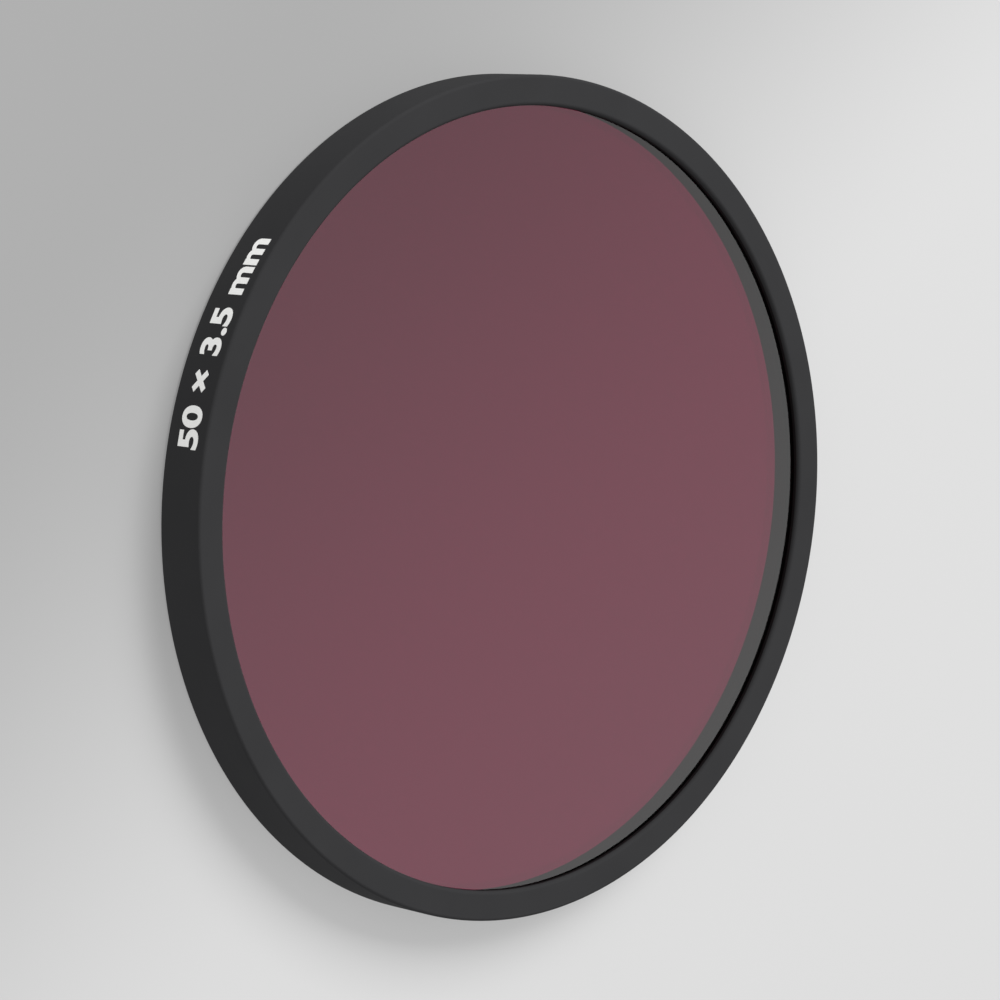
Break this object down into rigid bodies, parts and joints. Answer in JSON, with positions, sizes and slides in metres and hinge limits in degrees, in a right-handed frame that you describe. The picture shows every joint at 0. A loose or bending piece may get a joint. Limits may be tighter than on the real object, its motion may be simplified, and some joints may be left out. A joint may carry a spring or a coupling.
{
  "type": "optical bandpass filter",
  "caption": "Round optical bandpass filter: a flat disc of deep red coated glass in a thin black cell with a plain rim, held from behind by a threaded retaining ring.",
  "frame": {"origin": "centre of the cell's back face, on the optical axis; the filter lies on that face", "axes": "+Z along the optical axis to the front face, where the glass lies behind the lip; the retaining ring's two slots stand 10 degrees off X, where the ring came tight"},
  "size_m": [0.05, 0.05, 0.0035],
  "materials": {
    "black_anodised_aluminium": "satin black anodised, fine turned",
    "red_filter_glass": "polished and coated, deep red in transmission, ground edge",
    "black_anodised_retainer": "satin black anodised, fine turned"
  },
  "bodies": {
    "root": {"cell_ring": "black_anodised_aluminium", "filter_glass": "red_filter_glass", "retaining_ring": "black_anodised_retainer"}
  },
  "joints": []
}
